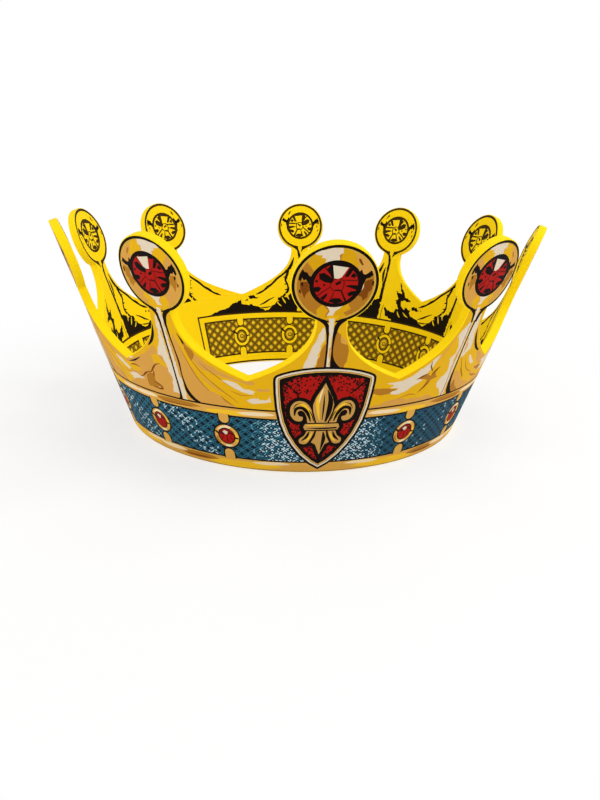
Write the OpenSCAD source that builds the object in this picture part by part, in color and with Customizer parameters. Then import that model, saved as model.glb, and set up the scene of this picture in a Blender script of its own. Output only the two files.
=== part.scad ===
// Child's play crown: one die-cut sheet of thick foam, rolled into a flared ring.
// Ten points end in round balls. The two ends of the sheet overlap in a glued lap at the back left.

/* [Ring] */
// Outer radius of the ring along its lower edge
base_radius = 92; // [80:1:110]
// Outward lean of the wall, in degrees
flare = 19.7; // [12:0.1:26]
// Thickness of the foam sheet
sheet = 4; // [3:0.5:6]

/* [Points] */
// Number of points round the crown
point_count = 10; // [8:1:11]
// Height of the notches between the points, measured up the wall
notch_height = 51; // [44:1:60]
// Height of the ball centres, measured up the wall
ball_height = 97.6; // [92:0.2:110]
// Radius of the ball at the end of each point
ball_radius = 17.2; // [14:0.2:20]
// Half of the width of the neck under a ball
neck_half = 6.3; // [4:0.1:9]
// Exponent of the curve that sweeps from a neck down to a notch
sweep = 2.6; // [1.6:0.1:3.4]

/* [Seam] */
// Angle between the two points that stand beside the seam
seam_gap = 48.6; // [44:0.1:58]
// Angle from the last point to the notch over the seam
seam_side = 22.3; // [18:0.1:26]
// Height of the notch over the seam, measured up the wall
seam_height = 48; // [46:1:54]
// Angle over which the two ends of the sheet overlap
lap_angle = 34; // [20:1:40]
// Height of the inner end's free corner, measured up the wall
lap_end_height = 45; // [38:1:48]

/* [Facets] */
// Columns of facets across a point
columns = 6; // [4:1:8]
// Rows of facets from a notch to a neck
sweep_rows = 7; // [4:1:10]
// Rows of facets round a ball
ball_rows = 11; // [8:1:16]

/* [Hidden] */
// Grain to which corners are rounded, so that neighbouring patches share them exactly
grain = 1 / 1024;
// Angle round a ball, from its lowest point, at which the neck meets it and at which its top row lies
neck_angle = asin(neck_half / ball_radius);
top_angle = 174;
neck_height = ball_height - ball_radius * cos(neck_angle);
pitch = (360 - seam_gap) / (point_count - 1);
// The point that stands at the front, and the last one, which carries the inner end of the sheet
front_point = floor((point_count - 1) / 2);
last_point = point_count - 1;
// Loss of radius over one turn, which brings the inner end to lie against the outer one
turn_drop = sheet / cos(flare);
// Distance down the wall between the outer and the inner corner of a level cut
level_slide = sheet * tan(flare);
// The outer end's first columns lie over the inner end, and the others carry on to the next notch
lap_columns = columns;
free_columns = ceil(columns / 2);
lap_share = lap_angle / (seam_gap - seam_side + pitch / 2);

function mix(a, b, t) = a + (b - a) * t;

// Corner of the rolled sheet at turn u from the front, at height s up the wall, at depth d under its outer face
function rolled(u, s, d) =
    let (r = base_radius - turn_drop * u / 360 + s * sin(flare) - d * cos(flare))
    [for (v = [r * sin(u), -r * cos(u), s * cos(flare) + d * sin(flare)]) round(v / grain) * grain];

// Turn that a width w covers at height s up the wall
function turn(w, s) = w / (base_radius + s * sin(flare)) * 180 / PI;

// Half of a point's outline: turn and height of corner i, from a notch at turn half up to the ball's top
function sweep_corner(i, half, notch) =
    let (s = mix(notch, neck_height, i / sweep_rows), neck = turn(neck_half, s))
    [mix(neck, half, pow(1 - i / sweep_rows, sweep)), s];

function ball_corner(i) =
    let (a = mix(neck_angle, top_angle, i / ball_rows), s = ball_height - ball_radius * cos(a))
    [turn(ball_radius * sin(a), s), s];

function corner(i, side) =
    i <= sweep_rows ? sweep_corner(i, side[0], side[1]) : ball_corner(i - sweep_rows);

// Turn and height of the notch on each side of point k: the seam's notch is wider and lower
function low_side(k) =
    k == 0 ? [seam_gap - seam_side, seam_height - level_slide] : [pitch / 2, notch_height];

function high_side(k) =
    k == last_point ? [seam_side, seam_height] : [pitch / 2, notch_height];

// Places of the facet columns across point k, from 0 at one edge to 1 at the other
function shares(k) =
    k > 0 ? [for (c = [0 : columns]) c / columns]
          : [for (c = [0 : lap_columns + free_columns])
                c <= lap_columns ? lap_share * c / lap_columns
                                 : mix(lap_share, 1, (c - lap_columns) / free_columns)];

// Height of the outer end's corner that lies on the inner end's upper edge, or beyond it runs to the next notch
function lap_line(share) =
    share <= lap_share
        ? mix(seam_height, lap_end_height, share / lap_share) - level_slide
        : mix(lap_end_height - level_slide, notch_height, (share - lap_share) / (1 - lap_share));

// Turns and heights along row i of point k
function row(k, i) =
    let (u = (k - front_point) * pitch, a = corner(i, low_side(k)), b = corner(i, high_side(k)))
    [for (f = shares(k))
        [u + mix(-a[0], b[0], f), k == 0 && i == 0 ? lap_line(f) : mix(a[1], b[1], f)]];

// Corners of point k and the band under it, row by row from the level lower edge, at layer n of the sheet
function layer(k, n) = concat(
    [[for (p = row(k, 0)) rolled(p[0], -n * level_slide, n * sheet)]],
    [for (i = [0 : sweep_rows + ball_rows]) [for (p = row(k, i)) rolled(p[0], p[1], n * sheet)]]);

// Outer end's columns that the inner end lies against, for the two lowest rows at layer n
function lap_layer(n) =
    let (rows = layer(0, n))
    [for (j = [0 : 1]) [for (c = [0 : lap_columns]) rows[j][c]]];

// Four-cornered facets on the two faces and the cut edges of a patch with outer rows o and inner rows n
function outer_face(o, j, c) = [o[j][c], o[j + 1][c], o[j + 1][c + 1], o[j][c + 1]];

function inner_face(n, j, c) = [n[j][c], n[j][c + 1], n[j + 1][c + 1], n[j + 1][c]];

function cut_edge(o, n, a, b) =
    [o[a[0]][a[1]], o[b[0]][b[1]], n[b[0]][b[1]], n[a[0]][a[1]]];

// Facets of point k: the outer end's lap columns have no inner face, because the inner end is glued there
function point_facets(k) =
    let (o = layer(k, 0), n = layer(k, 1), top = len(o) - 1, side = len(o[0]) - 1)
    concat(
        [for (j = [0 : top - 1], c = [0 : side - 1]) outer_face(o, j, c)],
        [for (j = [0 : top - 1], c = [0 : side - 1]) if (k > 0 || j > 0 || c >= lap_columns) inner_face(n, j, c)],
        [for (c = [0 : side - 1]) cut_edge(o, n, [0, c], [0, c + 1])],
        [for (c = [0 : side - 1]) cut_edge(o, n, [top, c + 1], [top, c])],
        [for (j = [k == 0 ? 0 : 1 : top - 1]) cut_edge(o, n, [j + 1, 0], [j, 0])],
        [for (j = [1 : top - 1]) cut_edge(o, n, [j, side], [j + 1, side])]);

// Facets of the inner end, which goes on from the last point under the outer end
function lap_facets() =
    let (o = lap_layer(1), n = lap_layer(2))
    concat(
        [for (c = [0 : lap_columns - 1]) inner_face(n, 0, c)],
        [for (c = [0 : lap_columns - 1]) cut_edge(o, n, [0, c], [0, c + 1])],
        [for (c = [0 : lap_columns - 1]) cut_edge(o, n, [1, c + 1], [1, c])],
        [cut_edge(o, n, [0, lap_columns], [1, lap_columns])]);

// The whole crown, moved so that its box stands centred on the origin
module crown() {
    facets = concat([for (k = [0 : last_point]) each point_facets(k)], lap_facets());
    corners = [for (f = facets) each f];
    x = [for (p = corners) p[0]];
    y = [for (p = corners) p[1]];
    color("gold")
        translate([-(min(x) + max(x)) / 2, -(min(y) + max(y)) / 2, 0])
            polyhedron(
                points = corners,
                faces = [for (i = [0 : len(facets) - 1], t = [[0, 1, 2], [0, 2, 3]]) t + 4 * [i, i, i]]);
}

crown();
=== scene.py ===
import random
from math import asin, cos, degrees, hypot, pi, radians, sin, tan, tau

import bpy
import numpy as np
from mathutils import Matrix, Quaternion, Vector
from mathutils.geometry import delaunay_2d_cdt


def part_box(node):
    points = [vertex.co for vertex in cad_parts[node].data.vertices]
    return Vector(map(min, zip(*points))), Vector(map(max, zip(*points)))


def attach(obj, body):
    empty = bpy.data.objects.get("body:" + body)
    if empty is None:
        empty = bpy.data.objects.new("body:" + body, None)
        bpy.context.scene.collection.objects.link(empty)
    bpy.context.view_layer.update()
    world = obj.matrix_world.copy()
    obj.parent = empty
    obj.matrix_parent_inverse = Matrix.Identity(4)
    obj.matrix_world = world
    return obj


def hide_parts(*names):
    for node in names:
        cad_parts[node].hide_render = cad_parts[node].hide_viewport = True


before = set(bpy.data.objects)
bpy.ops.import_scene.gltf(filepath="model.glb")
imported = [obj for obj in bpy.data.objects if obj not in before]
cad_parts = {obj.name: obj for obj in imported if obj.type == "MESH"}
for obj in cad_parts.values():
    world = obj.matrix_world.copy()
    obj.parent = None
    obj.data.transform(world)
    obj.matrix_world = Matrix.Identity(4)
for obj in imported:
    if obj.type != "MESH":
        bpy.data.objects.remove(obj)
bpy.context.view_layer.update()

# The sheet, in millimetres and degrees: the same named sizes as the part's source.
BASE_RADIUS = 92.0
FLARE = radians(19.7)
LEAN = sin(FLARE)
RISE = cos(FLARE)
SHEET = 4.0
POINT_COUNT = 10
FRONT_POINT = 4
NOTCH_HEIGHT = 51.0
BALL_HEIGHT = 97.6
BALL_RADIUS = 17.2
NECK_HALF = 6.3
SWEEP = 2.6
SEAM_GAP = 48.6
SEAM_SIDE = 22.3
SEAM_HEIGHT = 48.0
LAP_ANGLE = 34.0
LAP_END_HEIGHT = 45.0
PITCH = (360 - SEAM_GAP) / (POINT_COUNT - 1)
NECK_ANGLE = asin(NECK_HALF / BALL_RADIUS)
NECK_HEIGHT = BALL_HEIGHT - BALL_RADIUS * cos(NECK_ANGLE)
# Air between the two layers of the glued lap, and the soft rounding of the cut edges
LAP_AIR = 0.12
EDGE_ROUND = 0.45
TURN_DROP = (SHEET + LAP_AIR) / RISE
LEVEL_SLIDE = SHEET * tan(FLARE)
MILLIMETRE = 0.001

# Places of the print: heights up the wall, turns round the crown in degrees, and widths of lines
STRIP_LOW = (0.0, 6.3)
STRIP_HIGH = (30.6, 35.5)
PANEL_MIDDLE = 18.7
MEDALLION_FIRST = 24.3
MEDALLION_STEP = 21.75
MEDALLIONS_EACH_SIDE = 9
INNER_FRAME = (-0.3, 33.9)
INNER_PANEL = (5.3, 29.4)
INNER_MIDDLE = 17.6
INNER_FRAME_END = 217.4
INNER_LINE = 1.1
LINE = 0.85

# Printing inks, as sRGB colours, and one darker teal that stands for painted shade on the band's right side
INKS = {
    "foam": "FFD90C",
    "black": "0E0603",
    "gold": "E0AC10",
    "tan": "D29A45",
    "ochre": "AE7420",
    "brown": "7C4208",
    "cream": "DDCDB3",
    "rim_gold": "CDA23C",
    "ball_gold": "D49E0A",
    "red": "A8150E",
    "dark_red": "5E0B0A",
    "strip_gold": "D9A54A",
    "strip_yellow": "F0BE29",
    "strip_cream": "F0D8AC",
    "lily_gold": "C4954A",
    "navy": "153A4C",
    "deep_navy": "0A1B27",
    "teal": "2F6C80",
    "shaded_teal": "27566A",
    "ice": "C6DEE6",
    "mist": "6E9CAA",
    "inner_yellow": "FFD70B",
    "inner_line": "120A02",
    "inner_brown": "3A2805",
    "inner_olive": "8E6E0E",
    "inner_gold": "F0C822",
}


def mix(a, b, t):
    return a + (b - a) * t


def stretch(s):
    """How much wider the cone is at height s than along its lower edge."""
    return 1 + s * LEAN / BASE_RADIUS


def flat_x(u):
    """Distance along the flat sheet's lower edge for a turn of u degrees."""
    return radians(u) * BASE_RADIUS


def turn(width, s):
    """Degrees that a width covers at height s."""
    return degrees(width / (BASE_RADIUS * stretch(s)))


def rolled(x, s, d):
    """Place on the rolled sheet, in millimetres: x along it, s up the wall, d below its outer face."""
    a = x / BASE_RADIUS
    r = BASE_RADIUS - TURN_DROP * a / tau + s * LEAN - d * RISE
    return Vector((r * sin(a), -r * cos(a), s * RISE + d * LEAN))


def axes(x):
    """Directions on the even cone: along the sheet, up the wall, and out of the outer face."""
    a = x / BASE_RADIUS
    return (
        Vector((cos(a), sin(a), 0)),
        Vector((LEAN * sin(a), -LEAN * cos(a), RISE)),
        Vector((RISE * sin(a), -RISE * cos(a), -LEAN)))


def point_turn(k):
    return (k - FRONT_POINT) * PITCH


# How far the finer print goes on into the glued lap
LAP_PRINT = 6.0

# Soft foam: four points beside the front one stand turned about their own middle lines
SIDE_TURNS = {2: -5.8, 3: -4.0, 5: -3.7, 6: -3.2}


def side_turn(x, s):
    """The turn of the foam at a place on the sheet, and the middle line about which it is turned."""
    for k, angle in SIDE_TURNS.items():
        middle = flat_x(point_turn(k))
        if s > NOTCH_HEIGHT and abs(x - middle) < flat_x(PITCH / 2):
            t = min(1, (s - NOTCH_HEIGHT) / (NECK_HEIGHT - NOTCH_HEIGHT))
            _, up, _ = axes(middle)
            return Quaternion(up, radians(angle) * t * t * (3 - 2 * t)), middle
    return None, x


def settled(x, s, d):
    """Place on the rolled sheet, with the turn of its point."""
    place = rolled(x, s, d)
    spin, middle = side_turn(x, s)
    if spin:
        hub = rolled(middle, s, SHEET / 2)
        place = hub + spin @ (place - hub)
    return place


def facing(normal, x, s):
    """A normal of the even cone, with the turn of its point."""
    spin, _ = side_turn(x, s)
    return spin @ normal if spin else normal


def low_side(k):
    """Turn and height of the notch before point k."""
    return (SEAM_GAP - SEAM_SIDE, SEAM_HEIGHT - LEVEL_SLIDE) if k == 0 else (PITCH / 2, NOTCH_HEIGHT)


def high_side(k):
    """Turn and height of the notch after point k."""
    return (SEAM_SIDE, SEAM_HEIGHT) if k == POINT_COUNT - 1 else (PITCH / 2, NOTCH_HEIGHT)


OUTER_END = point_turn(0) - low_side(0)[0]
SEAM_TURN = point_turn(POINT_COUNT - 1) + SEAM_SIDE
INNER_END = SEAM_TURN + LAP_ANGLE
# The print's bands go a little past both ends of the sheet
PRINT_START = flat_x(OUTER_END) - 1
PRINT_END = flat_x(INNER_END) + 1

# Steps along the parts of the cut outline
LOWER_STEPS = 170
END_STEPS = 12
LAP_STEPS = 16
SWEEP_STEPS = 20
BALL_STEPS = 32
# Longest mitres, in widths, at corners of the cut outline and of the print
OUTLINE_MITRE = 1.5
SHAPE_MITRE = 2.5


def half_point(side):
    """Half of a point's outline, from a notch to the ball's top: turns from its middle, and heights."""
    half, notch = side
    corners = []
    for i in range(SWEEP_STEPS):
        s = mix(notch, NECK_HEIGHT, i / SWEEP_STEPS)
        corners.append((mix(turn(NECK_HALF, s), half, (1 - i / SWEEP_STEPS) ** SWEEP), s))
    for i in range(BALL_STEPS + 1):
        a = mix(NECK_ANGLE, pi, i / BALL_STEPS)
        s = BALL_HEIGHT - BALL_RADIUS * cos(a)
        corners.append((turn(BALL_RADIUS * sin(a), s), s))
    return corners


def sheet_outline():
    """The cut outline, anticlockwise as seen from outside: (x, s, whether it is on the lower edge)."""
    corners = [(mix(OUTER_END, INNER_END, i / LOWER_STEPS), 0.0, True) for i in range(LOWER_STEPS + 1)]
    corners += [(INNER_END, LAP_END_HEIGHT * i / END_STEPS, False) for i in range(1, END_STEPS)]
    for i in range(LAP_STEPS):
        t = i / LAP_STEPS
        corners.append((mix(INNER_END, SEAM_TURN, t), mix(LAP_END_HEIGHT, SEAM_HEIGHT, t), False))
    for k in reversed(range(POINT_COUNT)):
        u = point_turn(k)
        rising = half_point(high_side(k))
        falling = half_point(low_side(k))
        corners += [(u + a, s, False) for a, s in rising]
        corners += [(u - a, s, False) for a, s in reversed(falling[1:-1])]
    end = low_side(0)[1]
    corners += [(OUTER_END, end * (1 - i / END_STEPS), False) for i in range(END_STEPS)]
    return [(flat_x(u), s, low) for u, s, low in corners]


OUTLINE = sheet_outline()


def corner_normal(corners, i, longest, wide=1):
    """Outward direction at corner i of an anticlockwise outline, and how long a mitre is there."""
    sides = []
    for a, b in ((i - 1, i), (i, (i + 1) % len(corners))):
        dx = (corners[b][0] - corners[a][0]) * wide
        ds = corners[b][1] - corners[a][1]
        length = hypot(dx, ds)
        sides.append((ds / length, -dx / length))
    nx, ns = sides[0][0] + sides[1][0], sides[0][1] + sides[1][1]
    length = hypot(nx, ns)
    nx, ns = nx / length, ns / length
    return nx, ns, min(longest, 1 / (nx * sides[0][0] + ns * sides[0][1]))


NORMALS = [corner_normal(OUTLINE, i, OUTLINE_MITRE, stretch(s)) for i, (_, s, _) in enumerate(OUTLINE)]


def outline_ring(depth, inset):
    """The outline at a depth of the sheet, drawn in by inset."""
    ring = []
    for (x, s, low), (nx, ns, mitre) in zip(OUTLINE, NORMALS):
        drop = depth * tan(FLARE) if low else 0
        ring.append((x - nx * mitre * inset / stretch(s), s - drop - ns * mitre * inset))
    return ring


# Drawing in millimetres. A field is an ink and a closed outline, and later fields lie over earlier ones.

class Print:
    def __init__(self):
        self.fields = []

    def add(self, ink, points):
        self.fields.append((ink, points))


def spot(u, s0, way=1):
    """Turns millimetres about a place on the wall into sheet coordinates, mirrored if way is -1."""
    def placed(points):
        return [(flat_x(u) + way * dx / stretch(s0 + ds), s0 + ds) for dx, ds in points]
    return placed


def disc(rx, ry=None, steps=40, dx=0.0, ds=0.0):
    ry = rx if ry is None else ry
    angles = [tau * i / steps for i in range(steps)]
    return [(dx + rx * cos(a), ds + ry * sin(a)) for a in angles]


def box(x0, s0, x1, s1):
    return [(x0, s0), (x1, s0), (x1, s1), (x0, s1)]


def brush(points, widths):
    """A stroke along points, as wide at each as widths says."""
    left, right = [], []
    n = len(points)
    for i, (x, s) in enumerate(points):
        a, b = points[max(0, i - 1)], points[min(n - 1, i + 1)]
        dx, ds = b[0] - a[0], b[1] - a[1]
        length = hypot(dx, ds) or 1
        w = widths[i] / 2
        left.append((x - ds / length * w, s + dx / length * w))
        right.append((x + ds / length * w, s - dx / length * w))
    return left + right[::-1]


# How far a tear may stand off its even place, in steps, and the least width of a stroke
TEAR_JITTER = 0.25
LEAST_WIDTH = 0.05


def torn(points, step, depth, rng):
    """The same closed outline with a torn edge."""
    out = []
    n = len(points)
    for i in range(n):
        a, b = points[i], points[(i + 1) % n]
        dx, ds = b[0] - a[0], b[1] - a[1]
        length = hypot(dx, ds)
        count = max(1, int(length / step))
        for j in range(count):
            t = j / count
            push = rng.uniform(-depth, depth) if j else 0
            t += rng.uniform(-TEAR_JITTER, TEAR_JITTER) / count if j else 0
            out.append((a[0] + dx * t - ds / length * push, a[1] + ds * t + dx / length * push))
    return out


def spline(p0, p1, p2, p3, t):
    """A place on the smooth curve between p1 and p2."""
    return tuple(
        0.5 * (2 * b + (c - a) * t + (2 * a - 5 * b + 4 * c - d) * t * t + (3 * b - a - 3 * c + d) * t ** 3)
        for a, b, c, d in zip(p0, p1, p2, p3))


def smooth_closed(points, steps=4):
    n = len(points)
    corners = [[points[(i + j - 1) % n] for j in range(4)] for i in range(n)]
    return [spline(*four, j / steps) for four in corners for j in range(steps)]


def smooth_open(points, steps=4):
    ends = [points[0], *points, points[-1]]
    fours = zip(ends, ends[1:], ends[2:], ends[3:])
    return [spline(*four, j / steps) for four in fours for j in range(steps)] + [points[-1]]


def stroke(points):
    """A smooth stroke through places that each give a width too."""
    curve = smooth_open(points)
    return brush([(x, s) for x, s, _ in curve], [max(LEAST_WIDTH, w) for _, _, w in curve])


# Torn edges: the step along the edge and the depth of the tears
BALL_TEAR = (1.3, 0.2)
BALL_GROUND_TEAR = (2.2, 0.2)
POINT_TEAR = (1.3, 0.4)
NECK_TEAR = (1.3, 0.05)
MEDALLION_TEAR = (1.3, 0.08)
STONE_TEAR = (1.3, 0.05)
SHIELD_TEAR = (0.9, 0.6)
INNER_FIELD_TEAR = (1.0, 0.55)
INNER_STROKE_TEAR = (1.2, 0.28)
# Seeds of the random draws, to which the number of the point is added
SEEDS = {"ball": 100, "point": 200, "neck": 250, "panel": 350, "shield": 400, "inner_point": 500,
         "inner_ball": 600, "medallion": 700}


def draws(name, k=0):
    return random.Random(SEEDS[name] + k)


def draw_shapes(art, place, shapes, tear=None, rng=None):
    """Draws strokes, which have widths, and fields, which get a torn edge, in the order given."""
    for ink, *outlines in shapes:
        for points in outlines:
            if len(points[0]) == 3:
                art.add(ink, place(stroke(points)))
            else:
                art.add(ink, place(torn(points, *tear, rng)))


def print_way(k):
    """The print of the points before the front one is the mirror image of the others."""
    return -1 if k < FRONT_POINT else 1


# Ball and gem, drawn about the ball's middle
RING_RADIUS = 16.9
RING_LINE = 1.3
RIM_WIDTH = 0.75
GEM_RADIUS = 10.15
GEM_LINE = 1.7
GEM_LIFT = 0.3
BALL_DASH = [(7.6, 11.2), (8.5, 11), (9.8, 8.6), (9.2, 8.2), (8, 9.8)]
BALL_SHAPES = [
    ("tan", [(6.4, 13.4), (10.8, 10.4), (13.6, 6.4), (13, 3.6), (10, 4.4), (8.4, 6), (7.2, 9)]),
    ("ball_gold", [(-8.6, 12.8), (-2.5, 13.5), (-3.6, 8.4), (-7.2, 5.6), (-8.6, 5.4), (-9.8, 7.4),
      (-11.2, 9), (-10.4, 11.4)],
     [(1.4, 15), (4.4, 14.6), (6.6, 12.9), (6.6, 11), (8.1, 9), (7.4, 7.2), (0.8, 8.8)]),
    ("cream", [(-8.9, 12.9), (-6.4, 14.4), (-1.8, 15.5), (1.5, 15.4), (1.6, 13.4), (0.3, 12.6), (0.6, 9.6),
      (-4.8, 9), (-4.6, 11), (-6.2, 11.3), (-6, 12.5), (-7.4, 12.3)]),
    ("brown", BALL_DASH,
     [(-13.6, 1.2), (-10.6, 1.2), (-9.8, -2.8), (-10.6, -3.4), (-11.6, -6.2), (-12.4, -4), (-13.3, -2.2)],
     [(11.2, 1.6), (14.2, 2.6), (14.2, -2.2), (13, -3.4), (12.8, -5.6), (11, -7), (10.6, -5.4), (8.8, -4.6),
      (10.6, -2)]),
    ("ball_gold", [(-6.6, -11), (-4.4, -8.4), (-2, -11.4), (-3, -13.8), (-1.7, -16.2), (-4.6, -15),
      (-6.4, -13)],
     [(5.6, -8.2), (1.3, -11), (-0.4, -13.6), (-0.8, -16.2), (2.4, -15.8), (5.2, -13.8), (4, -12.2),
      (6.8, -10.6)]),
    ("cream", [(-3, -9.2), (3.6, -9.2), (0.7, -11.8), (0, -13.8), (-1, -15.2), (-2.5, -13.8),
      (-1.4, -11.7)]),
    ("black", [(-14, 4.4), (-12.9, 6.6), (-12.2, 5.4), (-11.2, 5.2), (-10.2, 3.6), (-8.4, 3.4),
      (-8.4, -3.4), (-9.5, -2.6), (-9.9, -0.4), (-10.6, 0.9), (-11.5, 2.2), (-12.3, 1.8), (-12.9, 3),
      (-13.4, 1.4), (-14.3, 2)],
     [(8.2, 5.4), (9.4, 6.6), (10, 4.8), (10.8, 4.4), (11.8, 4.9), (13.2, 6.2), (14.2, 4.2), (12.8, 3),
      (11.4, 2.6), (10.8, 0.6), (10.2, -2.6), (9.2, -4.4), (8.4, -2.5)],
     [(-13.4, 0.6), (-12.4, 0.8), (-12.4, -1), (-13, -0.4)],
     [(-13.9, -2.4), (-13.3, -2.2), (-13, -4), (-13.6, -3.6)],
     [(14.1, 1.8), (14.8, 1.4), (14.7, -0.6), (14.1, -0.2)]),
    ("cream", [(10.6, 0.4, 0.1), (10.7, -1, 0.35), (10.2, -2.4, 0.1)]),
]
# The balls beside the front one are drawn a shade lighter: painted sheen of the light on their turned faces
SIDE_SHEEN_INKS = {"ochre": "tan", "brown": "ochre", "ball_gold": "gold"}
GEM_GLINT = [(-1.8, 8), (4.2, 7.1), (1.9, 3), (0.6, 2.3), (-0.9, 2.5)]
GEM_BLACKS = [
    [(-3.8, 6.4), (-2.6, 8.2), (0.8, 8.8), (4.8, 7.6), (4, 7), (-1, 7.6), (-0.8, 2.5), (-1.6, 2.2)],
    [(-6.8, 4.3), (-4.9, 4.9), (-0.9, 2), (-1.6, 0.4), (-4.2, 0.8), (-6.4, 2.1)],
    [(-8, 1.7), (-7, 1.6), (-6.9, 0.7), (-7.9, 0.7)],
    [(-8.7, -1.4), (-6.4, -1.1), (-5.4, -1.9), (-6.4, -3.4), (-8.4, -3.3)],
    [(-4.9, 0.1), (-4, 0), (-4.2, -0.8), (-4.9, -0.6)],
    [(-5.6, -6), (-3, -3.8), (-3, -5), (-4.4, -7.2)],
    [(-2.4, -7.5), (-0.6, -6.1), (1.8, -6.1), (3.4, -7.6), (0.4, -8.6)],
    [(4.6, -4.2), (5.8, -3.2), (7.9, -2.9), (8.2, -4.2), (5.6, -5.4)],
    [(3.4, -0.8), (5.5, -0.3), (8.7, -0.5), (8.4, -2.6), (6.4, -1.8)],
    [(3, 3.2), (4.5, 6.9), (6.2, 6.4), (5.2, 4.4), (4.2, 3)],
    [(5.2, 3.4), (6.4, 5), (7.6, 3.6), (6.6, 2.6)],
    [(-0.5, 0.3), (1.8, 1.7), (1.8, 0.4), (0.2, -0.6)],
]
GEM_BLACK_LINES = [
    [(-0.8, -2.8, 0.3), (1, -2.6, 0.7), (2.6, -3, 0.5)],
    [(2.2, -2.6, 0.5), (3.2, -5, 0.6), (4.4, -7.6, 0.8)],
    [(-4.6, 7, 0.4), (-2.6, 4.6, 0.5), (-0.8, 2.6, 0.3)],
]
GEM_LINES = [
    [(-0.6, -3, 0.3), (-2.2, -1, 0.4), (-1.6, 1.2, 0.3), (0.2, 2.4, 0.3), (2.4, 1.8, 0.4), (3.1, 0.2, 0.4),
     (2.4, -3, 0.4)],
    [(-2, -1.2, 0.4), (-4.6, -3.2, 0.5), (-7, -5.4, 0.5)],
    [(-0.5, -3.3, 0.3), (-1.2, -5.6, 0.5), (-2, -8, 0.5)],
    [(2.6, 1.8, 0.3), (5.4, 1.6, 0.6), (8.6, 1.6, 0.5)],
]


def grown(points, share):
    """The same outline, made larger about its middle."""
    cx, cs = (sum(v) / len(points) for v in zip(*points))
    return [(mix(cx, x, share), mix(cs, s, share)) for x, s in points]


def draw_gem(art, place, ground, lines, blacks, rim=GEM_LINE, bold=1.0, swell=1.0):
    """A round gem in three inks, with bolder facet lines and larger dark facets where asked."""
    def lifted(points):
        return place([(x, s + GEM_LIFT) for x, s in points])

    art.add(blacks, lifted(disc(GEM_RADIUS, steps=48)))
    art.add(ground, lifted(disc(GEM_RADIUS - rim, steps=40)))
    for ink, drawn in ((lines, GEM_LINES), (blacks, GEM_BLACK_LINES)):
        for line in drawn:
            art.add(ink, lifted(stroke([(x, s, width * bold) for x, s, width in line])))
    for shape in GEM_BLACKS:
        art.add(blacks, lifted(grown(shape, swell)))


def draw_outer_ball(art, k):
    rng = draws("ball", k)
    place = spot(point_turn(k), BALL_HEIGHT, print_way(k))
    # balls beside the front one take the lighter inks, a painted sheen
    inks = {} if k == FRONT_POINT else SIDE_SHEEN_INKS
    ground = disc(RING_RADIUS - RING_LINE - RIM_WIDTH, steps=30)
    art.add("black", place(disc(RING_RADIUS, steps=72)))
    art.add("rim_gold", place(disc(RING_RADIUS - RING_LINE, steps=64)))
    art.add(inks.get("ochre", "ochre"), place(torn(ground, *BALL_GROUND_TEAR, rng)))
    shapes = [(inks.get(ink, ink), *outlines) for ink, *outlines in BALL_SHAPES]
    draw_shapes(art, place, shapes, BALL_TEAR, rng)
    draw_gem(art, spot(point_turn(k), BALL_HEIGHT), "red", "dark_red", "black")
    art.add("cream", place([(x, s + GEM_LIFT) for x, s in GEM_GLINT]))


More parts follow.
